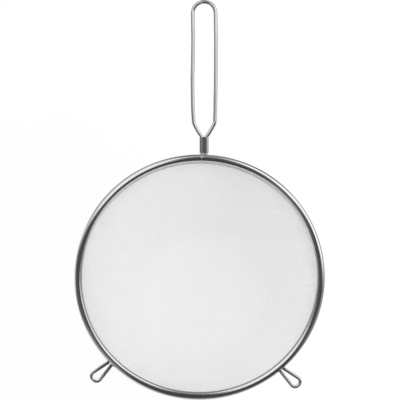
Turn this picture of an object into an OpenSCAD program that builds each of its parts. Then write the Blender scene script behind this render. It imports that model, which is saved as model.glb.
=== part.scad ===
// Fine wire mesh strainer with a wire-loop handle and two rest ears.
// Millimetres. The origin is the centre of the flat bottom, +Z is up and the handle points along +Y.

/* [Rim] */
// Outer diameter over the rolled bead
rim_od = 200; // [160:1:240]
// Diameter of the rolled bead
bead_d = 6; // [5:0.2:8]
// Thickness of the rim strip
strip_t = 0.5; // [0.4:0.05:0.8]
// Height of the two skirts that grip the mesh under the bead
skirt_h = 5; // [4:0.5:9]
// Gap between the ends of the rim strip, on the handle's side
seam_gap = 0.3; // [0.1:0.1:1]
// Place of that gap, in degrees round from the handle's root
seam_place = 1; // [0:0.1:5]

/* [Mesh bowl] */
// Thickness of the woven mesh
mesh_t = 0.5; // [0.4:0.05:0.7]
// Radius of the flat bottom
bottom_r = 30; // [20:1:40]
// Openings across the grid in the floor, which stands in for the fine weave
grid_count = 10; // [4:2:12]
// Openings round the bowl in each row up its wall
wall_count = 24; // [12:1:36]
// Width of the bars between the openings
grid_bar = 3.4; // [2:0.2:5]

/* [Handle] */
// Diameter of the handle wire
handle_wire_d = 3; // [2:0.1:4]
// Reach of the handle beyond the middle of the bead
handle_reach = 129.8; // [80:0.2:180]
// Outer width of the handle loop
handle_w = 21.3; // [16:0.1:30]
// Angle between the wires' converging lengths and the handle's axis
shoulder_angle = 30.4; // [20:0.2:45]
// Centreline radius of the shoulder bends
shoulder_r = 10; // [4:0.5:12]
// Centreline radius of the tight bends at the ferrule
neck_r = 3; // [2.5:0.1:6]
// Sideways lean of the handle from straight out, as on the photographed piece
handle_lean = 2.2; // [0:0.1:3]

/* [Ferrule] */
// Length of the crimped ferrule
ferrule_l = 12.7; // [8:0.1:20]
// Distance from the middle of the bead to the ferrule
ferrule_gap = 5.3; // [4:0.1:10]
// Wall of the ferrule
ferrule_t = 0.45; // [0.3:0.05:0.8]

/* [Ears] */
// Diameter of the ear wire
ear_wire_d = 2.5; // [1.8:0.1:3]
// Reach of an ear beyond the middle of the bead, to the middle of its end bar
ear_reach = 21.2; // [14:0.2:30]
// Angle that each leg of an ear spreads from the ear's axis
ear_spread = 10; // [6:0.2:14]
// Centreline radius of an ear's corners
ear_corner_r = 3; // [2:0.1:3]
// Place of the left ear, in degrees round from the point opposite the handle
ear_left_angle = 43.4; // [30:0.1:60]
// Place of the right ear, in degrees round from the point opposite the handle
ear_right_angle = 43.2; // [30:0.1:60]
// Sideways lean of the right ear, as on the photographed piece
ear_right_lean = 6; // [0:0.1:8]

/* [Hidden] */
$fn = 96;

// Clearance between the legs of one wire, which lie side by side but stay apart
leg_clearance = 0.1;
// A bend is this much thicker than the straights, whose ends sink into it
bend_swell = 0.02;
sink_l = 0.1;
// How far a wire is drawn into the rim before its end is cut to the skirt
wire_overrun = 3;
// Length of collar that shows between the bowl's curve and the skirts
collar_show = 0.75;
// How far a cutting shape runs past what it cuts
cut_past = 1;

bead_r = bead_d / 2;
bead_bore_r = bead_r - strip_t;
core_r = bead_bore_r - mesh_t;
// Radius of the circle that the middle of the bead and the upright edge of the mesh lie on
rim_r = rim_od / 2 - bead_r;
skirt_half_t = mesh_t / 2 + strip_t;
skirt_outer_r = rim_r + skirt_half_t;
seam_angle = 360 * seam_gap / (2 * PI * rim_r);

// The wall is a quarter circle from the flat bottom to the upright edge
wall_r = rim_r - bottom_r;
wall_top_z = wall_r + mesh_t / 2;
rim_z = wall_top_z + collar_show + skirt_h + bead_r;

// The floor's grid goes out to where the wall has turned this far up, and two rows of openings go on from there
grid_end_angle = 45;
wall_rows = 2;
row_angle = (90 - grid_end_angle) / wall_rows;
bar_angle = grid_bar / wall_r * 180 / PI;
// Radius and height of the wall's middle where it has turned up by an angle
function wall_x(angle) = bottom_r + wall_r * sin(angle);
function wall_z(angle) = wall_top_z - wall_r * cos(angle);
grid_r = wall_x(grid_end_angle);
grid_pitch = 2 * grid_r / grid_count;
// A corner opening of the grid is left out where less than this of it would remain
least_opening = 5;

// Handle: half spacings of the wire and the lengths of its straight stretches
handle_z = rim_z - bead_r - handle_wire_d / 2;
loop_r = (handle_w - handle_wire_d) / 2;
leg_x = (handle_wire_d + leg_clearance) / 2;
// Length of the tight bends that lies inside the ferrule
neck_inside = 0.8;
neck_start = ferrule_gap + ferrule_l - neck_inside;
bends_x = (neck_r + shoulder_r) * (1 - cos(shoulder_angle));
slant_l = (loop_r - leg_x - bends_x) / sin(shoulder_angle);
shoulder_end = neck_start + (neck_r + shoulder_r) * sin(shoulder_angle) + slant_l * cos(shoulder_angle);
grip_l = handle_reach - handle_wire_d / 2 - loop_r - shoulder_end;

// Ferrule: a flattened tube with a round side over each leg, and a little play outside the legs
ferrule_press = 0.01;
ferrule_play = 0.15;
ferrule_bore_r = handle_wire_d / 2 + ferrule_press;
ferrule_round_x = leg_x + ferrule_play;

// Ears: the two legs start a little apart on the skirt and spread to the corners
ear_z = rim_z - bead_r - ear_wire_d / 2;
ear_leg_x = (ear_wire_d + leg_clearance) / 2;
ear_corner_x = ear_leg_x + ear_reach * tan(ear_spread);
ear_corner_angle = 90 + ear_spread;
ear_corner_tangent = ear_corner_r * tan(ear_corner_angle / 2);
ear_leg_l = ear_reach / cos(ear_spread) - ear_corner_tangent;
ear_bar_l = 2 * (ear_corner_x - ear_corner_tangent);

// A straight stretch of wire along +Y, with its children placed at its far end
module straight(length, wire_d) {
    translate([0, -sink_l, 0])
        rotate([-90, 0, 0])
            cylinder(h = length + 2 * sink_l, d = wire_d);
    translate([0, length, 0])
        children();
}

// A stretch of wire that turns left from +Y, with its children placed at its far end
module bend_left(bend_r, angle, wire_d) {
    translate([-bend_r, 0, 0]) {
        rotate_extrude(angle = angle)
            translate([bend_r, 0])
                circle(d = wire_d + bend_swell);
        rotate([0, 0, angle])
            translate([bend_r, 0, 0])
                children();
    }
}

// The same to the right
module bend_right(bend_r, angle, wire_d) {
    mirror([1, 0, 0])
        bend_left(bend_r, angle, wire_d)
            mirror([1, 0, 0])
                children();
}

// The inside of the rim's outer skirt, which the welded wires' ends are cut to
module inside_skirt() {
    cylinder(r = skirt_outer_r, h = 2 * rim_z);
}

// Section of the rolled strip: an open bead over two skirts with the mesh's slot between them
module rim_section() {
    slot_h = bead_r + skirt_h;
    difference() {
        union() {
            circle(r = bead_r);
            translate([-skirt_half_t, -slot_h])
                square([2 * skirt_half_t, slot_h]);
        }
        circle(r = bead_bore_r);
        translate([-mesh_t / 2, -slot_h - cut_past])
            square([mesh_t, slot_h + cut_past]);
    }
}

module rim_band() {
    color([0.74, 0.75, 0.76])
        translate([0, 0, rim_z])
            rotate([0, 0, 90 + seam_place + seam_angle / 2])
                rotate_extrude(angle = 360 - seam_angle)
                    translate([rim_r, 0])
                        rim_section();
}

module rim_core_wire() {
    color([0.6, 0.61, 0.62])
        translate([0, 0, rim_z])
            rotate_extrude()
                translate([rim_r, 0])
                    circle(r = core_r);
}

// Section of the bowl: flat bottom, quarter-circle wall, upright collar and the hem round the core wire
module bowl_section() {
    square([bottom_r, mesh_t]);
    translate([bottom_r, wall_top_z])
        intersection() {
            difference() {
                circle(r = wall_r + mesh_t / 2);
                circle(r = wall_r - mesh_t / 2);
            }
            translate([0, -wall_r - mesh_t])
                square([wall_r + mesh_t, wall_r + mesh_t]);
        }
    translate([rim_r - mesh_t / 2, wall_top_z])
        square([mesh_t, rim_z - wall_top_z - core_r - mesh_t / 2]);
    translate([rim_r, rim_z])
        difference() {
            circle(r = bead_bore_r);
            circle(r = core_r);
        }
}

// Square openings through the floor and the low wall, cut straight down
module floor_openings() {
    corner = grid_bar / 2;
    intersection() {
        translate([0, 0, -cut_past])
            cylinder(r = grid_r, h = wall_z(grid_end_angle) + 2 * cut_past);
        for (column = [-grid_count / 2 : grid_count / 2 - 1], row = [-grid_count / 2 : grid_count / 2 - 1]) {
            near_x = min(abs(column), abs(column + 1)) * grid_pitch + corner;
            near_y = min(abs(row), abs(row + 1)) * grid_pitch + corner;
            if (norm([near_x, near_y]) < grid_r - least_opening)
                translate([column * grid_pitch + corner, row * grid_pitch + corner, -cut_past])
                    cube([grid_pitch - grid_bar, grid_pitch - grid_bar, wall_z(grid_end_angle) + 2 * cut_past]);
        }
    }
}

// Rows of openings up the wall, cut outward
module wall_openings() {
    for (row = [0 : wall_rows - 1]) {
        low = grid_end_angle + row * row_angle + (row == 0 ? bar_angle : bar_angle / 2);
        high = grid_end_angle + (row + 1) * row_angle - (row == wall_rows - 1 ? bar_angle : bar_angle / 2);
        wide = 2 * PI * wall_x(low) / wall_count - grid_bar;
        for (i = [0 : wall_count - 1])
            rotate([0, 0, (i + 0.5) * 360 / wall_count])
                translate([wall_x(low) - bead_d, -wide / 2, wall_z(low)])
                    cube([rim_od / 2 - wall_x(low) + bead_d, wide, wall_z(high) - wall_z(low)]);
    }
}

module mesh_bowl() {
    color([0.86, 0.87, 0.88])
        difference() {
            rotate_extrude()
                bowl_section();
            floor_openings();
            wall_openings();
        }
}

// One side of the handle wire, from its welded end to the loop's end bend, which children draw
module handle_side() {
    translate([leg_x, -wire_overrun, 0])
        straight(wire_overrun + neck_start, handle_wire_d)
            bend_right(neck_r, shoulder_angle, handle_wire_d)
                straight(slant_l, handle_wire_d)
                    bend_left(shoulder_r, shoulder_angle, handle_wire_d)
                        straight(grip_l, handle_wire_d)
                            children();
}

// Places a shape made on the handle's own axis, with its start under the middle of the bead
module on_handle_axis() {
    translate([0, rim_r, handle_z])
        rotate([0, 0, handle_lean])
            children();
}

module handle_wire() {
    color([0.7, 0.71, 0.72])
        difference() {
            on_handle_axis() {
                handle_side()
                    bend_left(loop_r, 180, handle_wire_d);
                mirror([1, 0, 0])
                    handle_side();
            }
            inside_skirt();
        }
}

// Outline of a tube whose top and bottom are pressed flat between round sides of the given radius
module ferrule_outline(round_r) {
    flat_z = round_r - ferrule_press;
    for (side = [-1, 1])
        translate([side * ferrule_round_x, 0])
            circle(r = round_r);
    translate([-ferrule_round_x, -flat_z])
        square([2 * ferrule_round_x, 2 * flat_z]);
}

module handle_ferrule() {
    color([0.45, 0.46, 0.47])
        on_handle_axis()
            translate([0, ferrule_gap, 0])
                rotate([-90, 0, 0])
                    linear_extrude(height = ferrule_l)
                        difference() {
                            ferrule_outline(ferrule_bore_r + ferrule_t);
                            ferrule_outline(ferrule_bore_r);
                        }
}

// One side of an ear, from its welded end round its corner to the end bar, which children draw
module ear_side() {
    translate([ear_leg_x, 0, 0])
        rotate([0, 0, -ear_spread])
            straight(ear_leg_l, ear_wire_d)
                bend_left(ear_corner_r, ear_corner_angle, ear_wire_d)
                    children();
}

// An ear placed round from the point opposite the handle, towards +X where the angle is positive
module ear(angle, lean) {
    color([0.68, 0.69, 0.7])
        difference() {
            rotate([0, 0, 180 + angle])
                translate([0, rim_r, ear_z])
                    rotate([0, 0, lean]) {
                        ear_side()
                            straight(ear_bar_l, ear_wire_d);
                        mirror([1, 0, 0])
                            ear_side();
                    }
            inside_skirt();
        }
}

module ear_left() {
    ear(-ear_left_angle, 0);
}

module ear_right() {
    ear(ear_right_angle, ear_right_lean);
}

rim_band();
rim_core_wire();
mesh_bowl();
handle_wire();
handle_ferrule();
ear_left();
ear_right();
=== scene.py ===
import math

import bmesh
import bpy
import numpy as np
from mathutils import Matrix, Vector, noise


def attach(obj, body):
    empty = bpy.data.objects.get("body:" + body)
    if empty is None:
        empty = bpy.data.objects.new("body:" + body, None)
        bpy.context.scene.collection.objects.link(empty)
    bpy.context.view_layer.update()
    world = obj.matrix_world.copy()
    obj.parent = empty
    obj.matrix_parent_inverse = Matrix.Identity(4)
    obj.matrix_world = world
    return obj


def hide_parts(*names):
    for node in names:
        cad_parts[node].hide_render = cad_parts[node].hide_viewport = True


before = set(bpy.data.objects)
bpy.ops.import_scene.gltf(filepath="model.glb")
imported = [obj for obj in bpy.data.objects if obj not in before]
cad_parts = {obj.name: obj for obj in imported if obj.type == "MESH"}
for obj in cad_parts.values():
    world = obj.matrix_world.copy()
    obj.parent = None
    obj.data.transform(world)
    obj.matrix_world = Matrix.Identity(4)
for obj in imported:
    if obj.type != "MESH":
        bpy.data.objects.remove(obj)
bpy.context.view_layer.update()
MM = 0.001

# Sizes are in millimetres. They are the CAD model's, but for a few that follow the photograph more closely
# and for detail that is only in this scene.

# Rim: the middle of the bead lies at this radius and height, and places in the section are counted from it
RIM_R = 97.0
RIM_Z = 76.0
BEAD_R = 3.0
# Degrees round the bead at which the lip starts
BEAD_END = 188
SKIRT_X = 0.75
SKIRT_LOW = 8.0
SKIRT_EDGE_R = 0.2
# Height from one point of the outer skirt's face to the next
SKIRT_STEP = 1.6
# Radius of the soft corner between the bead and the outer skirt
BEAD_CORNER_R = 0.6
# Half the width of the slot between the skirts, where the mesh leaves the rim
SLOT_X = 0.25
# The strip's inner edge hangs as a lip flush with the bead's inner side, and turns to the slot at its low end
LIP_X = 3.0
LIP_HIGH = 2.0
LIP_MIDDLE = 4.5
LIP_LOW = 7.9
LIP_CORNER_R = 0.7
LIP_CORNER_END = 262
LIP_END_X = 1.2
SEAM_GAP = 0.3
SEAM_PLACE = math.radians(91)
RIM_ROWS = 900
# Rows of points by the strip's cut ends, which are a little rounded: how far round from the cut they are, in
# radians, and the share of the section that they keep. The first whole row comes after them.
CUT_TURNS = np.array((0, 0.0006, 0.0016))
CUT_SHARES = np.array((0.955, 0.98, 0.995))
CUT_WHOLE_TURN = 0.004
# Unevenness of the rolled strip, outward and up: height, waves in a turn and start in radians
RIM_WAVES_OUT = ((0.05, 2, 1), (0.03, 5, 2), (0.012, 13, 0))
RIM_WAVES_UP = ((0.05, 3, 2), (0.02, 7, 0))
# Where the photographed ring departs from a circle: degrees round it from +X towards +Y, and how far outward
RIM_WOBBLE = np.array([
    (2, 0.19), (47, 0.11), (92, -0.05), (137, 0.06), (182, -0.07),
    (227, 0.1), (242, 0.1), (272, -0.08), (302, 0.2), (317, 0.35),
])
# How far the rim's colour turns to painted shade in the crevice by the mesh, on the half by the ears
CREVICE_PAINTED_SHADE = 0.6
# How far inward the painted shade starts on the bead and over what width, and how far down it ends
CREVICE_EDGE = (1.4, 0.7)
CREVICE_LOW = 3.0
# The painted shade clears towards the handle: the sine of the place where it does, and over what width
CREVICE_CLEARS = (0.25, 0.4)

# Bowl and its woven wire cloth
BOTTOM_R = 30.0
WALL_R = 67.0
WEAVE_PITCH = 1.32
WEAVE_WIRE_D = 0.28
# How far a wire passes above or below the cloth's middle where it crosses another
WEAVE_LIFT = 0.13
# Radius of the cloth's flat disc before it was pressed
WEAVE_REACH = 139.6
WEAVE_SIDES = 5
# A wire with fewer crossings than this is left out
WEAVE_LEAST = 4
# Ways across the two sets of wires, which don't cross square because the cloth was pressed into a bowl
WEAVE_ACROSS = (math.radians(-36), math.radians(40))
# How far the wires wander from their lines in a long and a short wave, and how far each is off on its own
WEAVE_DRIFT = 0.05
WEAVE_SCATTER = 0.015
WEAVE_SEED = 7
# Those waves for each set of wires. Of the long one: its scale along x, its start in radians and its scale
# along y. Of the short one: its scales along x and y. A scale is the length of one radian of the wave.
WARP_WAVES = (17, 1, 23, 7.3, 11.1)
WEFT_WAVES = (19, 2, 21, 6.1, -12.7)

# Bent wires: they start just inside the outer skirt's face, and have points this far apart on straights, in
# millimetres, and in bends, in degrees
WIRE_START = SKIRT_X - 0.1
STRAIGHT_STEP = 1.5
BEND_STEP = 3
# Their ends bulge by this share of the wire's radius, with rings at these tilts from the last whole one
END_BULGE = 0.5
END_TILTS = np.radians((30, 50, 70, 88))

# Handle
HANDLE_Z = 71.5
HANDLE_D = 3.0
HANDLE_SIDES = 28
# Reach of the loop beyond the middle of the bead
HANDLE_REACH = 130.9
HANDLE_LEAN = math.radians(2.2)
LOOP_R = 9.15
LEG_X = 1.55
NECK_START = 17.2
NECK_R = 3.0
SHOULDER_R = 10.0
SHOULDER_ANGLE = math.radians(30.4)
# Height of the handle's slight wave up and down, and the length of one radian of it
HANDLE_WAVE = 0.12
HANDLE_WAVE_L = 31
# Where the photographed handle departs from straight legs: distance out, and its middle and half width there
HANDLE_WOBBLE = np.array([
    (0, 0, 0), (18, 0, 0.1), (21, 0, 0.45), (24, 0, 0.5), (28.7, 0.1, 0.1), (32, 0.15, -0.5),
    (34.5, 0.05, -0.5), (38.5, -0.02, -0.26), (43.4, 0, -0.15), (48.3, 0, -0.06), (58, 0.1, 0.15),
    (68, 0.07, 0.2), (78, 0.24, 0.12), (88, 0.33, 0.05), (97.4, 0.42, 0), (107, 0.3, 0), (118, 0.15, 0),
    (130, 0.1, 0),
])

# Ferrule: its distance from the middle of the bead, its length, and where its round sides have their centres
FERRULE_GAP = 5.3
FERRULE_L = 12.7
FERRULE_X = 1.7
FERRULE_HALF_H = 1.96
FERRULE_ROUND_POINTS = 40
FERRULE_FLAT_POINTS = 26
FERRULE_ROWS = 44
# Rows of points by each end, and the first of the even ones between them
FERRULE_END_ROWS = np.array((0, 0.06, 0.2, 0.4))
FERRULE_FIRST_ROW = 0.8
# The tube draws in by this share at its very ends, and less and less up to this distance from them
FERRULE_EDGE_SHRINK = 0.05
FERRULE_EDGE = 0.25

# Ears
EAR_Z = 71.75
EAR_D = 2.6
EAR_SIDES = 24
EAR_SPREAD = math.radians(9.2)
EAR_CORNER_R = 3.7
EAR_LEG_X = 1.2
# Each ear's place round the rim, lean, reach and how dark its painted reflection near the rim is
EARS = {
    "left": (math.radians(180 - 43.4), math.radians(-1), 21.6, 1.0),
    "right": (math.radians(180 + 43.2), math.radians(6), 21.2, 0.4),
}
# Distance out from the bead's middle at which half of that painted dark reflection has gone, and its fade's
# width
DARK_REFLECTION_REACH = 14.5
DARK_REFLECTION_FADE = 8.0

# Weld nuggets: how far their middles stand out from the skirt's face and up from the wire's middle
WELD_OUT = 0.35
WELD_UP = 0.75
HANDLE_WELD_R = 1.5
EAR_WELD_R = 1.3
# Their height as a share of their width, and how large and how close their lumps are
WELD_HEIGHT = 0.8
WELD_LUMPS = 0.22
WELD_LUMP_SCALE = 1.7
# Rings and sides of a nugget's mesh, and how far its first and last ring are from its poles, in rings
WELD_RINGS = 9
WELD_SIDES = 16
WELD_POLE = 0.3

# The photograph: its side, its scale and the ring's middle, in pixels from its left and top
PHOTO_PX = 400
PHOTO_MM_PER_PX = 0.799
RING_PX = (199.3, 276.7)
# Its camera: a long lens above the bowl, turned a little round it and rolled
CAMERA_AZIMUTH = math.radians(6.3)
CAMERA_ELEVATION = math.radians(77.87)
CAMERA_ROLL = math.radians(4.2)
CAMERA_M = 10.0
CAMERA_CLIP_M = (0.1, 60.0)
SENSOR_MM = 36.0


def soft_step(x, edge, soft):
    """0 below the edge and 1 above it, with a rise that is soft wide."""
    t = np.clip((x - edge) / soft + 0.5, 0, 1)
    return t * t * (3 - 2 * t)


def waves(angle, table):
    """Sum of the sine waves in a table of heights, waves in a turn and starts."""
    return sum(height * np.sin(count * angle + start) for height, count, start in table)


def turn_flat(x, y, angle):
    """The place x, y after a turn round the origin from +X towards +Y."""
    c, s = math.cos(angle), math.sin(angle)
    return c * x - s * y, s * x + c * y


def arc(cx, cy, r, a0, a1, count):
    """Points on an arc, angles in degrees."""
    angles = np.radians(np.linspace(a0, a1, count))
    return [(cx + r * math.cos(a), cy + r * math.sin(a)) for a in angles]


def lengths_along(path):
    """How far along a path each of its points is."""
    steps = np.linalg.norm(np.diff(path, axis=0), axis=1)
    return np.concatenate([[0], np.cumsum(steps)])


def lengths_round(outline):
    """How far round a closed outline each of its points is, and at the end how long it is."""
    return lengths_along(np.vstack([outline, outline[:1]]))


# Meshes and pieces


def set_material(obj, material):
    obj.data.materials.clear()
    obj.data.materials.append(material)


def link_object(name, mesh, material):
    """Puts a mesh into the scene with its material."""
    obj = bpy.data.objects.new(name, mesh)
    bpy.context.collection.objects.link(obj)
    set_material(obj, material)
    return obj


def add_piece(name, mesh, material, slot, *nodes):
    """A piece of the object, which stands for those CAD nodes."""
    obj = link_object(name, mesh, material)
    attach(obj, "root")
    if nodes:
        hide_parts(*nodes)
    return obj


def quad_mesh(name, points, quads, uvs=None):
    """A smooth mesh from arrays of points in millimetres, quads and one uv pair for each quad's corner."""
    mesh = bpy.data.meshes.new(name)
    mesh.vertices.add(len(points))
    mesh.vertices.foreach_set("co", (np.asarray(points, dtype=np.float32) * MM).ravel())
    mesh.loops.add(quads.size)
    mesh.loops.foreach_set("vertex_index", quads.astype(np.int32).ravel())
    mesh.polygons.add(len(quads))
    mesh.polygons.foreach_set("loop_start", np.arange(0, quads.size, 4, dtype=np.int32))
    mesh.polygons.foreach_set("loop_total", np.full(len(quads), 4, dtype=np.int32))
    mesh.polygons.foreach_set("use_smooth", np.ones(len(quads), dtype=bool))
    if uvs is not None:
        layer = mesh.uv_layers.new(name="Along")
        layer.data.foreach_set("uv", np.asarray(uvs, dtype=np.float32).ravel())
    mesh.update(calc_edges=True)
    mesh.validate()
    return mesh


def grid_quads(rows, columns, wrap):
    """Quads between the rows of a grid of points, whose columns close on themselves where wrap is true."""
    i = np.arange(rows - 1)[:, None]
    j = np.arange(columns if wrap else columns - 1)[None, :]
    k = (j + 1) % columns
    corners = (i * columns + j, i * columns + k, (i + 1) * columns + k, (i + 1) * columns + j)
    return np.stack(corners, -1).reshape(-1, 4)


def grid_uvs(along, around):
    """Uv pairs for the quads of a closed grid, from its rows' places along and its columns' places around.

    The places around are one more than the columns, because the last is the first again after a whole turn.
    """
    i, j = np.indices((len(along) - 1, len(around) - 1))
    corners = [(i, j), (i, j + 1), (i + 1, j + 1), (i + 1, j)]
    return np.stack([np.stack([along[a], around[b]], -1) for a, b in corners], -2).reshape(-1, 2)


def set_points_value(mesh, name, values):
    """Stores one number for each point of the mesh, for its material to read."""
    attribute = mesh.attributes.new(name, "FLOAT", "POINT")
    attribute.data.foreach_set("value", values.reshape(-1).astype(np.float32))


def cap_ends(obj, n):
    """Closes the first and the last ring of a swept mesh, whose rings have n points."""
    work = bmesh.new()
    work.from_mesh(obj.data)
    work.verts.ensure_lookup_table()
    total = len(work.verts)
    for ring in (range(n), range(total - n, total)):
        face = work.faces.new([work.verts[i] for i in ring])
        face.smooth = False
    bmesh.ops.recalc_face_normals(work, faces=work.faces)
    work.to_mesh(obj.data)
    work.free()


def ring_ways(path, up, turns):
    """Ways across a path at its points, one for each turn from its side towards up, and its tangents."""
    tangent = np.gradient(path, axis=0)
    tangent /= np.linalg.norm(tangent, axis=1)[:, None]
    side = np.cross(tangent, up)
    side /= np.linalg.norm(side, axis=1)[:, None]
    up = np.cross(side, tangent)
    ways = np.cos(turns)[None, :, None] * side[:, None] + np.sin(turns)[None, :, None] * up[:, None]
    return ways, tangent


# Materials

WHITE = (1, 1, 1, 1)
# Most of a noise texture's values lie in this range
NOISE_RANGE = (0.3, 0.7)
MOTTLE_DETAIL = 4
LINE_DETAIL = 3
# How much rougher a steel is where its painted shade and reflection value is 1
TINT_DULLS = 0.45


def new_node(tree, kind, inputs=None):
    """A shader node whose inputs, by name or number, get values or are linked from other nodes' outputs."""
    node = tree.nodes.new("ShaderNode" + kind)
    for key, value in (inputs or {}).items():
        if isinstance(value, bpy.types.NodeSocket):
            tree.links.new(value, node.inputs[key])
        else:
            node.inputs[key].default_value = value
    return node


def new_maths(tree, operation, *terms):
    """The output of a Math node for terms that are numbers or other nodes' outputs."""
    node = new_node(tree, "Math", dict(enumerate(terms)))
    node.operation = operation
    return node.outputs[0]


def new_attribute(tree, name):
    """The number that set_points_value stored under that name."""
    node = new_node(tree, "Attribute")
    node.attribute_name = name
    return node.outputs["Fac"]


def new_material(name):
    """A material and its empty node tree."""
    material = bpy.data.materials.new(name)
    material.use_nodes = True
    material.node_tree.nodes.clear()
    return material, material.node_tree


def grey(level):
    return (level, level, level)


def steel(name, dark, light, rough, patch, lines, bump, uv=None, metal=1.0, streaky=False, tint=None):
    """Steel in patches between two colours, with fine lines between two roughnesses that stand up by bump.

    Patches and bump are in millimetres. lines is how close the lines are along and round the uv map named by
    uv, or along X, Y and Z without one. A streaky steel takes its colour from the lines too. A tinted one
    turns to tint, and gets duller, as the painted shade and reflection value that its mesh stores rises to 1;
    the tint paints shade and dark reflections, not the steel's own colour.
    """
    material, tree = new_material(name)
    place = new_node(tree, "TexCoord").outputs["Object"]
    mottle = new_node(tree, "TexNoise", {"Vector": place, "Scale": 1 / (patch * MM), "Detail": MOTTLE_DETAIL})
    source = place
    if uv:
        uv_map = new_node(tree, "UVMap")
        uv_map.uv_map = uv
        source = uv_map.outputs["UV"]
    stretched = new_node(tree, "Mapping", {"Vector": source, "Scale": lines}).outputs["Vector"]
    streaks = new_node(tree, "TexNoise", {"Vector": stretched, "Scale": 1.0, "Detail": LINE_DETAIL})
    fine = streaks.outputs["Fac"]
    tone = new_node(tree, "ValToRGB", {"Fac": fine if streaky else mottle.outputs["Fac"]})
    for element, position, level in zip(tone.color_ramp.elements, NOISE_RANGE, (dark, light)):
        element.position = position
        element.color = (*level, 1)
    colour = tone.outputs["Color"]
    span = {"Value": fine, "From Min": NOISE_RANGE[0], "From Max": NOISE_RANGE[1]}
    roughness = new_node(tree, "MapRange", {**span, "To Min": rough[0], "To Max": rough[1]}).outputs["Result"]
    if tint:
        # Painted shade and painted dark reflection: the colour turns to the tint where the mesh stores a
        # value
        painted_shade_and_reflection = new_attribute(tree, "painted_shade_and_reflection")
        tinted = new_node(tree, "MixRGB", {"Fac": painted_shade_and_reflection, "Color1": colour, "Color2": (*tint, 1)})
        colour = tinted.outputs["Color"]
        roughness = new_maths(tree, "MULTIPLY_ADD", painted_shade_and_reflection, TINT_DULLS, roughness)
    relief = new_node(tree, "Bump", {"Strength": 1.0, "Distance": bump * MM, "Height": fine})
    normal = relief.outputs["Normal"]
    looks = {"Metallic": metal, "Base Color": colour, "Roughness": roughness, "Normal": normal}
    shader = new_node(tree, "BsdfPrincipled", looks)
    new_node(tree, "OutputMaterial", {"Surface": shader.outputs["BSDF"]})
    return material


# The rim's tint is painted shade: a dark line in the crevice by the mesh, on the half by the ears
rim_steel = steel(
    "rim_steel", grey(0.88), grey(0.94), rough=(0.05, 0.09), patch=9, lines=(40, 3000, 1), bump=0.0006,
    uv="Along", tint=grey(0.3),
)
core_steel = steel(
    "core_steel", grey(0.55), grey(0.65), rough=(0.3, 0.4), patch=6, lines=(900, 900, 900), bump=0.002,
)
mesh_steel = steel(
    "mesh_steel", grey(0.92), grey(0.97), rough=(0.42, 0.52), patch=14, lines=(700, 700, 700), bump=0.0003,
    metal=0.45,
)
wire_steel = steel(
    "wire_steel", grey(0.82), grey(0.9), rough=(0.05, 0.09), patch=9, lines=(40, 900, 1), bump=0.0001,
    uv="Along",
)
# The ears' tint is a painted dark reflection on the legs near the rim
ear_steel = steel(
    "ear_steel", grey(0.8), grey(0.88), rough=(0.05, 0.09), patch=5, lines=(40, 900, 1), bump=0.0001,
    uv="Along", tint=(0.5, 0.49, 0.48),
)
ferrule_steel = steel(
    "ferrule_steel", grey(0.45), grey(0.72), rough=(0.09, 0.13), patch=3, lines=(12, 700, 1), bump=0.0001,
    uv="Along", streaky=True,
)
weld_steel = steel(
    "weld_steel", (0.42, 0.41, 0.4), grey(0.7), rough=(0.25, 0.45), patch=1.2, lines=(1500, 1500, 1500),
    bump=0.01,
)


# Woven bowl


def bowl_point(u, v):
    """Places on the bowl and normals into it, for places u, v on the flat disc of cloth, in millimetres."""
    s = np.hypot(u, v)
    safe = np.maximum(s, 1e-6)
    angle = np.clip((s - BOTTOM_R) / WALL_R, 0, math.pi / 2)
    rise = np.maximum(s - BOTTOM_R - WALL_R * math.pi / 2, 0)
    r = np.minimum(s, BOTTOM_R) + WALL_R * np.sin(angle)
    z = WALL_R * (1 - np.cos(angle)) + rise
    place = np.stack([r * u / safe, r * v / safe, z + WEAVE_LIFT + WEAVE_WIRE_D / 2], -1)
    normal = np.stack([-np.sin(angle) * u / safe, -np.sin(angle) * v / safe, np.cos(angle)], -1)
    return place, normal


def drift(x, y, long_x, start, long_y, short_x, short_y):
    """How far wires wander at x, y in a long and a short wave, each with its scales."""
    long_wave = WEAVE_DRIFT * np.sin(x / long_x + start) * np.sin(y / long_y)
    return long_wave + WEAVE_DRIFT * np.sin(x / short_x + y / short_y)


def weave_crossings():
    """Where wires cross on the flat disc, uneven as in real cloth, and 1 or -1 as warp is above or below."""
    half = int(WEAVE_REACH / WEAVE_PITCH) + 2
    steps = np.arange(-half, half + 1)
    lines = (steps + 0.5) * WEAVE_PITCH
    a, b = np.meshgrid(lines, lines, indexing="ij")
    drift_a = drift(a, b, *WARP_WAVES)
    drift_b = drift(b, a, *WEFT_WAVES)
    rng = np.random.default_rng(WEAVE_SEED)
    a = a + drift_a + rng.normal(0, WEAVE_SCATTER, len(steps))[:, None]
    b = b + drift_b + rng.normal(0, WEAVE_SCATTER, len(steps))[None, :]
    first, second = WEAVE_ACROSS
    crossing = math.sin(second - first)
    u = (a * math.sin(second) - b * math.sin(first)) / crossing
    v = (b * math.cos(first) - a * math.cos(second)) / crossing
    parity = np.where((steps[:, None] + steps[None, :]) % 2 == 0, 1.0, -1.0)
    return u, v, parity


def weave_mesh(name, place, normal, inside, lift):
    """Wires along the second axis of the grid, one for each row, as one mesh of thin tubes."""
    centre = place + normal * lift[..., None]
    turns = np.arange(WEAVE_SIDES) * 2 * math.pi / WEAVE_SIDES + math.pi / 2
    rings, quads, start = [], [], 0
    for row in range(len(centre)):
        keep = np.nonzero(inside[row])[0]
        if len(keep) < WEAVE_LEAST:
            continue
        path = centre[row, keep]
        ways, _ = ring_ways(path, normal[row, keep], turns)
        rings.append((path[:, None] + WEAVE_WIRE_D / 2 * ways).reshape(-1, 3))
        quads.append(grid_quads(len(path), WEAVE_SIDES, True) + start)
        start += len(path) * WEAVE_SIDES
    return quad_mesh(name, np.concatenate(rings), np.concatenate(quads))


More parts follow.
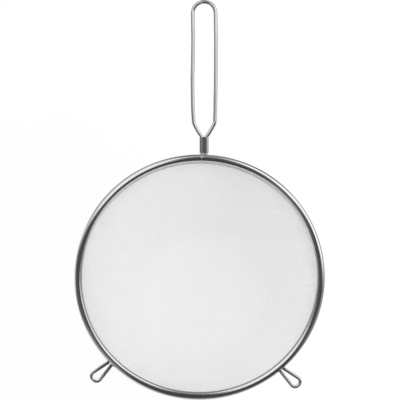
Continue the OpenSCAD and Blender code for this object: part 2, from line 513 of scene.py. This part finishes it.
def make_weave():
    """Both sets of wires of the cloth, each in a left and a right half."""
    u, v, parity = weave_crossings()
    place, normal = bowl_point(u, v)
    inside = np.hypot(u, v) < WEAVE_REACH
    warp = (place, normal, inside, WEAVE_LIFT * parity)
    weft = [part.swapaxes(0, 1) for part in (place, normal, inside, -WEAVE_LIFT * parity)]
    middle = len(u) // 2
    for half, rows in (("left", slice(0, middle)), ("right", slice(middle, None))):
        for wires, parts in (("warp", warp), ("weft", weft)):
            name = f"mesh_{wires}_{half}"
            mesh = weave_mesh(name, *[part[rows] for part in parts])
            add_piece(name, mesh, mesh_steel, "mesh_steel", "mesh_bowl")


# Rim


def rim_section():
    """Outline of the rolled strip from the slot round the outer skirt, the bead and the inner lip.

    Its first two and last two points turn up into the slot, which leaves the low edges soft.
    """
    corner_x = SKIRT_X + BEAD_CORNER_R
    corner_y = -math.sqrt((BEAD_R + BEAD_CORNER_R) ** 2 - corner_x**2)
    touch = math.degrees(math.atan2(corner_y, corner_x))
    skirt = [(SLOT_X - 0.01, -SKIRT_LOW + 0.5), (SLOT_X + 0.01, -SKIRT_LOW + 0.05)]
    skirt += arc(SKIRT_X - SKIRT_EDGE_R, -SKIRT_LOW + SKIRT_EDGE_R, SKIRT_EDGE_R, -90, 0, 5)
    skirt += [(SKIRT_X, -SKIRT_LOW + SKIRT_STEP * i) for i in (1, 2)]
    skirt += arc(corner_x, corner_y, BEAD_CORNER_R, 180, 180 + touch, 6)
    bead = arc(0, 0, BEAD_R, touch, 90, 27)[1:] + arc(0, 0, BEAD_R, 90, BEAD_END, 22)[1:]
    lip = [(-LIP_X, -LIP_HIGH), (-LIP_X, -LIP_MIDDLE)]
    lip += arc(-LIP_X + LIP_CORNER_R, -LIP_LOW + LIP_CORNER_R, LIP_CORNER_R, 180, LIP_CORNER_END, 6)
    lip += [(-LIP_END_X, -LIP_LOW + 0.1), (-SLOT_X - 0.01, -LIP_LOW + 0.3)]
    return np.array(skirt + bead + lip)


def make_rim():
    """The rolled strip, swept round the mouth from one side of its seam to the other."""
    section = rim_section()
    gap = SEAM_GAP / RIM_R
    last = 2 * math.pi - gap
    whole = np.linspace(CUT_WHOLE_TURN, last - CUT_WHOLE_TURN, RIM_ROWS)
    a = np.concatenate([CUT_TURNS, whole, last - CUT_TURNS[::-1]]) + (SEAM_PLACE + gap / 2)
    share = np.concatenate([CUT_SHARES, np.ones(RIM_ROWS), CUT_SHARES[::-1]])[:, None]
    wobble = np.interp(np.degrees(a), RIM_WOBBLE[:, 0], RIM_WOBBLE[:, 1], period=360)
    r = RIM_R + (waves(a, RIM_WAVES_OUT) + wobble)[:, None] + section[None, :, 0] * share
    z = RIM_Z + waves(a, RIM_WAVES_UP)[:, None] + section[None, :, 1] * share
    points = np.stack([r * np.cos(a)[:, None], r * np.sin(a)[:, None], z], -1).reshape(-1, 3)
    uvs = grid_uvs(a * RIM_R * MM, lengths_round(section) * MM)
    mesh = quad_mesh("rim_shell", points, grid_quads(len(a), len(section), True), uvs)
    # Painted shade in the crevice by the mesh, which clears towards the handle
    crevice = soft_step(-section[:, 0], *CREVICE_EDGE) * (section[:, 1] > -CREVICE_LOW)
    front = 1 - soft_step(np.sin(a), *CREVICE_CLEARS)
    set_points_value(mesh, "painted_shade_and_reflection", CREVICE_PAINTED_SHADE * crevice[None, :] * front[:, None])
    rim = add_piece("rim_shell", mesh, rim_steel, "rim_steel", "rim_band")
    cap_ends(rim, len(section))


# Bent wires


class Turtle:
    """Draws the middle line of a bent wire, flat and in millimetres, from a place and a heading.

    Heading 0 is +Y, and turns to the right are positive.
    """

    def __init__(self, x, y, heading=0.0):
        self.x, self.y, self.heading = x, y, heading
        self.points = [(x, y)]

    def straight(self, length):
        count = max(1, round(length / STRAIGHT_STEP))
        for _ in range(count):
            self.x += length / count * math.sin(self.heading)
            self.y += length / count * math.cos(self.heading)
            self.points.append((self.x, self.y))

    def bend(self, radius, angle):
        count = max(2, round(abs(math.degrees(angle)) / BEND_STEP))
        side = 1 if angle > 0 else -1
        cx = self.x + side * radius * math.cos(self.heading)
        cy = self.y - side * radius * math.sin(self.heading)
        for i in range(1, count + 1):
            h = self.heading + angle * i / count
            self.points.append((cx - side * radius * math.cos(h), cy + side * radius * math.sin(h)))
        self.heading += angle
        self.x, self.y = self.points[-1]

    def both_halves(self):
        """The points, and then their mirror image in reverse, to draw a loop from one half."""
        return self.points + [(-x, y) for x, y in reversed(self.points[:-1])]


def dome(centre, outward, radius, ways):
    """Rings that round off a wire's end, from the wire to the tip, and how far past the end each one lies."""
    past = END_BULGE * radius * np.sin(END_TILTS)
    rings = centre + past[:, None, None] * outward + radius * np.cos(END_TILTS)[:, None, None] * ways
    return rings, past


def sweep(name, path, radius, sides, material, slot, node):
    """A wire with rounded ends along path, whose rows are x, y and z in millimetres."""
    turns = np.arange(sides) * 2 * math.pi / sides
    ways, tangent = ring_ways(path, np.tile([0.0, 0.0, 1.0], (len(path), 1)), turns)
    start, before = dome(path[0], -tangent[0], radius, ways[0])
    end, after = dome(path[-1], tangent[-1], radius, ways[-1])
    points = np.concatenate([start[::-1], path[:, None] + radius * ways, end])
    along = lengths_along(path)
    along = np.concatenate([-before[::-1], along, along[-1] + after])
    uvs = grid_uvs(along * MM, np.linspace(0, 2 * math.pi * radius * MM, sides + 1))
    mesh = quad_mesh(name, points.reshape(-1, 3), grid_quads(len(points), sides, True), uvs)
    obj = add_piece(name, mesh, material, slot, node)
    cap_ends(obj, sides)
    return obj


def on_rim(points, place, lean, z):
    """Flat points, drawn outward from under the bead's middle, at their place round the rim and height z."""
    x, y = turn_flat(*np.transpose(points), lean)
    x, y = turn_flat(x, y + RIM_R, place)
    return np.stack([x, y, z + np.zeros(len(x))], -1)


def make_handle():
    """The hairpin: parallel legs, a neck and a shoulder on each side, the grip's wires and the end loop."""
    bends = NECK_R + SHOULDER_R
    slant = (LOOP_R - LEG_X - bends * (1 - math.cos(SHOULDER_ANGLE))) / math.sin(SHOULDER_ANGLE)
    shoulder_end = NECK_START + bends * math.sin(SHOULDER_ANGLE) + slant * math.cos(SHOULDER_ANGLE)
    half = Turtle(LEG_X, WIRE_START)
    half.straight(NECK_START - half.y)
    half.bend(NECK_R, SHOULDER_ANGLE)
    half.straight(slant)
    half.bend(SHOULDER_R, -SHOULDER_ANGLE)
    half.straight(HANDLE_REACH - HANDLE_D / 2 - LOOP_R - shoulder_end)
    half.bend(LOOP_R, -math.pi / 2)
    points = np.array(half.both_halves())
    out = points[:, 1]
    middle, wide = [np.interp(out, HANDLE_WOBBLE[:, 0], HANDLE_WOBBLE[:, i]) for i in (1, 2)]
    points[:, 0] += middle + np.sign(points[:, 0]) * wide
    path = on_rim(points, 0, HANDLE_LEAN, HANDLE_Z + HANDLE_WAVE * np.sin(out / HANDLE_WAVE_L))
    sweep("handle_loop", path, HANDLE_D / 2, HANDLE_SIDES, wire_steel, "wire_steel", "handle_wire")


def make_ear(side, place, lean, reach, painted_dark_reflection):
    """A rest ear: two legs that spread, a corner on each side and an end bar."""
    corner = math.pi / 2 + EAR_SPREAD
    tangent = EAR_CORNER_R * math.tan(corner / 2)
    half = Turtle(EAR_LEG_X + WIRE_START * math.tan(EAR_SPREAD), WIRE_START, EAR_SPREAD)
    half.straight((reach - WIRE_START) / math.cos(EAR_SPREAD) - tangent)
    half.bend(EAR_CORNER_R, -corner)
    half.straight(EAR_LEG_X + reach * math.tan(EAR_SPREAD) - tangent)
    path = on_rim(half.both_halves(), place, lean, EAR_Z)
    ear = sweep("ear_loop_" + side, path, EAR_D / 2, EAR_SIDES, ear_steel, "ear_steel", "ear_" + side)
    # Painted dark reflection: the legs darken towards the rim, by the ear's share
    places = np.empty(len(ear.data.vertices) * 3)
    ear.data.vertices.foreach_get("co", places)
    x, y, _ = places.reshape(-1, 3).T
    out = np.hypot(x, y) / MM - RIM_R
    set_points_value(ear.data, "painted_shade_and_reflection", painted_dark_reflection * (1 - soft_step(out, DARK_REFLECTION_REACH, DARK_REFLECTION_FADE)))


# Ferrule


def ferrule_outline():
    """Two half circles joined by flats, across the legs and up."""
    outline = []
    for side in (1, -1):
        first = -90 * side
        outline += arc(side * FERRULE_X, 0, FERRULE_HALF_H, first, first + 180, FERRULE_ROUND_POINTS)
        flat = np.linspace(side * FERRULE_X, -side * FERRULE_X, FERRULE_FLAT_POINTS)[1:-1]
        outline += [(x, side * FERRULE_HALF_H) for x in flat]
    return np.array(outline)


def make_ferrule():
    """A flattened tube pressed round both legs, with softened ends."""
    outline = ferrule_outline()
    middle = np.linspace(FERRULE_FIRST_ROW, FERRULE_L - FERRULE_FIRST_ROW, FERRULE_ROWS)
    along = np.concatenate([FERRULE_END_ROWS, middle, FERRULE_L - FERRULE_END_ROWS[::-1]])
    edge = np.minimum(along, FERRULE_L - along)
    share = 1 - FERRULE_EDGE_SHRINK * np.maximum(0, 1 - edge / FERRULE_EDGE) ** 2
    x, z = [(outline[None, :, i] * share[:, None]).reshape(-1) for i in (0, 1)]
    out = np.repeat(along + FERRULE_GAP, len(outline))
    points = on_rim(np.stack([x, out], -1), 0, HANDLE_LEAN, HANDLE_Z + z)
    quads = grid_quads(len(along), len(outline), True)
    mesh = quad_mesh("ferrule_crimp", points, quads, grid_uvs(along * MM, lengths_round(outline) * MM))
    ferrule = add_piece("ferrule_crimp", mesh, ferrule_steel, "ferrule_steel", "handle_ferrule")
    cap_ends(ferrule, len(outline))


# Welds


def weld_places(leg_x, place, lean, z, r):
    """Where the two legs of a wire meet the skirt: x, y, z and the nugget's radius."""
    legs = [(-leg_x, SKIRT_X + WELD_OUT), (leg_x, SKIRT_X + WELD_OUT)]
    return [(*root, r) for root in on_rim(legs, place, lean, z + WELD_UP)]


def make_welds(name, places, slot):
    """Small uneven nuggets of weld metal, one at each place x, y, z with its radius."""
    points, quads = [], []
    for x, y, z, r in places:
        quads.append(grid_quads(WELD_RINGS, WELD_SIDES, True) + len(points))
        for i in range(WELD_RINGS):
            tilt = math.pi * (i + WELD_POLE) / (WELD_RINGS - 1 + 2 * WELD_POLE)
            flat = math.sin(tilt)
            for j in range(WELD_SIDES):
                turn = 2 * math.pi * j / WELD_SIDES
                way = Vector((flat * math.cos(turn), flat * math.sin(turn), math.cos(tilt)))
                lump = noise.noise(way * WELD_LUMP_SCALE + Vector((x, y, z)))
                swell = r * (1 + WELD_LUMPS * lump)
                points.append((x + swell * way.x, y + swell * way.y, z + WELD_HEIGHT * swell * way.z))
    mesh = quad_mesh(name, np.array(points), np.concatenate(quads))
    add_piece(name, mesh, weld_steel, slot)


def make_all_welds():
    """The handle's and the ears' nuggets, which stand for no CAD node."""
    make_welds("handle_welds", weld_places(LEG_X, 0, HANDLE_LEAN, HANDLE_Z, HANDLE_WELD_R), "wire_steel")
    ear_places = []
    for place, _, _, _ in EARS.values():
        ear_places += weld_places(EAR_LEG_X, place, 0, EAR_Z, EAR_WELD_R)
    make_welds("ear_welds", ear_places, "ear_steel")


# Stage: world, floor, tent, lights and camera, in metres

# How strongly the world lights the object, while it looks white
WORLD_LIGHT = 0.53
FLOOR_HALF_SIDE = 30.0
# How much of the floor's look is plain white, over the paper that light and shade fall on
FLOOR_WHITE_SHARE = 0.93
PAPER_GREY = 0.93


def show_as_white(tree):
    """A factor that is 1 for what the camera sees directly, in metal or through the mesh."""
    ray = new_node(tree, "LightPath").outputs
    seen = new_maths(tree, "ADD", ray["Is Camera Ray"], ray["Is Glossy Ray"])
    clear = new_maths(tree, "ADD", seen, ray["Is Transmission Ray"])
    clear.node.use_clamp = True
    return clear


def make_world():
    """Even light from all round, which looks white."""
    world = bpy.data.worlds.new("studio")
    bpy.context.scene.world = world
    world.use_nodes = True
    tree = world.node_tree
    tree.nodes.clear()
    lit = new_node(tree, "Background", {"Color": WHITE, "Strength": WORLD_LIGHT})
    seen = new_node(tree, "Background", {"Color": WHITE, "Strength": 1.0})
    mix = new_node(tree, "MixShader", {"Fac": show_as_white(tree), 1: lit.outputs[0], 2: seen.outputs[0]})
    new_node(tree, "OutputWorld", {"Surface": mix.outputs[0]})


def floor_material():
    """Paper that looks nearly white, and that catches a little light and shade."""
    material, tree = new_material("floor_paper")
    paper = new_node(tree, "BsdfDiffuse", {"Color": (*grey(PAPER_GREY), 1)})
    white = new_node(tree, "Emission", {"Color": WHITE, "Strength": 1.0})
    share = new_maths(tree, "MULTIPLY", show_as_white(tree), FLOOR_WHITE_SHARE)
    mix = new_node(tree, "MixShader", {"Fac": share, 1: paper.outputs[0], 2: white.outputs[0]})
    new_node(tree, "OutputMaterial", {"Surface": mix.outputs[0]})
    material.cycles.emission_sampling = "NONE"
    return material


def make_floor():
    """A sheet of paper under the object, as large as a hall."""
    mesh = bpy.data.meshes.new("floor")
    side = FLOOR_HALF_SIDE
    corners = [(-side, -side, 0), (side, -side, 0), (side, side, 0), (-side, side, 0)]
    mesh.from_pydata(corners, [], [(0, 1, 2, 3)])
    floor = link_object("floor", mesh, floor_material())


# The studio tent is a dome of dark cloth with soft windows. Its top lies where the rim's topmost line mirrors
# the camera. Turn goes round that top from +X towards +Y, and dip goes down from it, both in degrees.
TENT_R = 1.1
TENT_TURNS = 181
TENT_DIPS = 121
TENT_DIP_RANGE = (0.05, 168)
TENT_DARK = 0.055
# Each window's least and most turn and the width of that soft edge, the same three for dip, and its grey
TENT_WINDOWS = (
    ("left_glow", 162, 200, 16, 28, 96, 24, 0.1),
    ("low_left", 198, 232, 16, 44, 96, 34, 0.25),
    ("ground_left", 155, 242, 30, 100, 200, 34, 0.75),
    ("ground_front", 230, 350, 25, 116, 200, 46, 0.5),
    ("ground_right", -20, 36, 36, 70, 200, 45, 0.29),
    ("ground_back_right", 15, 80, 22, 100, 200, 40, 0.48),
    ("ground_left_back", 146, 177, 14, 82, 200, 28, 0.7),
    ("ground_back_left", 73, 168, 34, 102, 200, 24, 0.95),
    ("right_window", 38, 90, 22, -35, 60, 32, 1.1),
    ("right_window_low", 11, 54, 24, 35, 86, 22, 1.1),
    ("back_strip", 77, 95, 16, 4, 84, 18, 0.28),
    ("left_window", 98, 152, 14, -20, 40, 15, 1.2),
    ("left_window_low", 102, 160, 20, 32, 84, 22, 0.58),
    ("front_window", 287, 325, 18, -20, 24, 14, 1.1),
    ("front_gap", 230, 257, 10, -20, 13, 10, 0.45),
    ("back_gap", 50, 106, 14, -20, 14, 8, 0.06),
    ("camera", -1, 361, 1, -20, 5, 4, 0.1),
)
# The tent's ground lies a little above the floor, and what is higher than the second value is its dome
TENT_GROUND_Z = 0.003
TENT_DOME_Z = 0.01
# The ground inside this radius is left to the paper
TENT_HOLE_R = 0.034
# The ground inside this radius lies in the bowl's shade, which has a soft edge
SHADE_R = 0.115
SHADE_EDGE = 0.02
SHADE_GREY = 0.38


def card_material():
    """Studio cloth that glows with the grey stored at its points."""
    material, tree = new_material("studio_card")
    glow = new_node(tree, "Emission", {"Strength": new_attribute(tree, "grey")})
    new_node(tree, "OutputMaterial", {"Surface": glow.outputs[0]})
    material.cycles.emission_sampling = "NONE"
    return material


def only_reflected(obj):
    """Hides a stage object from everything but reflections."""
    obj.visible_camera = False
    obj.visible_diffuse = False
    obj.visible_transmission = False
    obj.visible_volume_scatter = False
    obj.visible_shadow = False


def camera_way():
    """The unit way from the object to the camera."""
    flat = math.cos(CAMERA_ELEVATION)
    return flat * math.sin(CAMERA_AZIMUTH), -flat * math.cos(CAMERA_AZIMUTH), math.sin(CAMERA_ELEVATION)


def tent_ways(turn, dip):
    """Unit ways from the middle of the rim to the tent, for turns and dips in degrees."""
    x, y, z = camera_way()
    top = np.array((-x, -y, z))
    along_x = np.array((1.0, 0, 0)) - top * top[0]
    along_x /= np.linalg.norm(along_x)
    along_y = np.cross(top, along_x)
    t, d = np.radians(turn)[..., None], np.radians(dip)[..., None]
    return np.sin(d) * (np.cos(t) * along_x + np.sin(t) * along_y) + np.cos(d) * top


def tent_grey(turn, dip):
    """The grey of the tent with its windows, each laid over those before it."""
    level = np.full(np.shape(turn), TENT_DARK)
    for _, turn_low, turn_high, turn_soft, dip_low, dip_high, dip_soft, tone in TENT_WINDOWS:
        middle, half = (turn_low + turn_high) / 2, (turn_high - turn_low) / 2
        away = np.abs((turn - middle + 180) % 360 - 180)
        share = 1 - soft_step(away, half, turn_soft)
        share = share * soft_step(dip, dip_low, dip_soft) * (1 - soft_step(dip, dip_high, dip_soft))
        level += (tone - level) * share
    return level


def make_tent():
    """The dome and the ground that reflections see, with the windows' grey stored at its points."""
    dips = np.linspace(*TENT_DIP_RANGE, TENT_DIPS)
    dip, turn = np.meshgrid(dips, np.linspace(0, 360, TENT_TURNS), indexing="ij")
    ways = tent_ways(turn, dip)
    centre = np.array((0, 0, RIM_Z * MM))
    reach = np.minimum(TENT_R, (centre[2] - TENT_GROUND_Z) / np.maximum(-ways[..., 2], 1e-6))
    points = centre + ways * reach[..., None]
    far = np.hypot(points[..., 0], points[..., 1])
    is_dome = points[..., 2] > TENT_DOME_Z
    kept = ((far > TENT_HOLE_R) | is_dome).reshape(-1)
    quads = grid_quads(TENT_DIPS, TENT_TURNS, False)
    mesh = quad_mesh("studio_tent", points.reshape(-1, 3) / MM, quads[kept[quads].all(axis=1)])
    clear = np.clip(soft_step(far, SHADE_R, SHADE_EDGE) + is_dome, 0, 1)
    set_points_value(mesh, "grey", SHADE_GREY + (tent_grey(turn, dip) - SHADE_GREY) * clear)
    only_reflected(link_object("studio_tent", mesh, card_material()))


# Square soft lights: their side, what they point at, and each one's name, place and power in watts
LIGHT_SIDE = 1.2
LIGHT_TARGET = Vector((0, 0, 0.05))
LIGHTS = (("soft_back", (-0.4, 1.5, 1.2), 14), ("soft_right", (1.8, -0.25, 0.9), 41))


def make_lights():
    """The soft lights, which reflections don't show."""
    for name, location, power in LIGHTS:
        data = bpy.data.lights.new(name, "AREA")
        data.shape = "RECTANGLE"
        data.size = data.size_y = LIGHT_SIDE
        data.energy = power
        light = bpy.data.objects.new(name, data)
        bpy.context.collection.objects.link(light)
        light.location = location
        light.rotation_mode = "QUATERNION"
        light.rotation_quaternion = (LIGHT_TARGET - Vector(location)).to_track_quat("-Z", "Y")
        light.visible_glossy = False


def make_camera():
    """A camera whose picture has the ring's middle, scale, tilt and roll as in the photograph."""
    a, roll = CAMERA_AZIMUTH, CAMERA_ROLL
    back = Vector(camera_way())
    level = Vector((math.cos(a), math.sin(a), 0))
    high = back.cross(level)
    right = math.cos(roll) * level - math.sin(roll) * high
    up = math.sin(roll) * level + math.cos(roll) * high
    off = (PHOTO_PX / 2 - RING_PX[0]) * right + (RING_PX[1] - PHOTO_PX / 2) * up
    middle = Vector((0, 0, RIM_Z)) + PHOTO_MM_PER_PX * off
    data = bpy.data.cameras.new("camera")
    data.sensor_width = SENSOR_MM
    data.lens = SENSOR_MM * CAMERA_M / (PHOTO_PX * PHOTO_MM_PER_PX * MM)
    data.clip_start, data.clip_end = CAMERA_CLIP_M
    camera = bpy.data.objects.new("camera", data)
    bpy.context.collection.objects.link(camera)
    turned = Matrix((right, up, back)).transposed().to_4x4()
    camera.matrix_world = Matrix.Translation(middle * MM + back * CAMERA_M) @ turned
    bpy.context.scene.camera = camera


make_camera()
make_world()
make_floor()
make_tent()
make_lights()
make_weave()
make_rim()
make_handle()
make_ferrule()
for ear_side, ear in EARS.items():
    make_ear(ear_side, *ear)
make_all_welds()
set_material(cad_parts["rim_core_wire"], core_steel)
bpy.context.scene.view_settings.view_transform = "Standard"
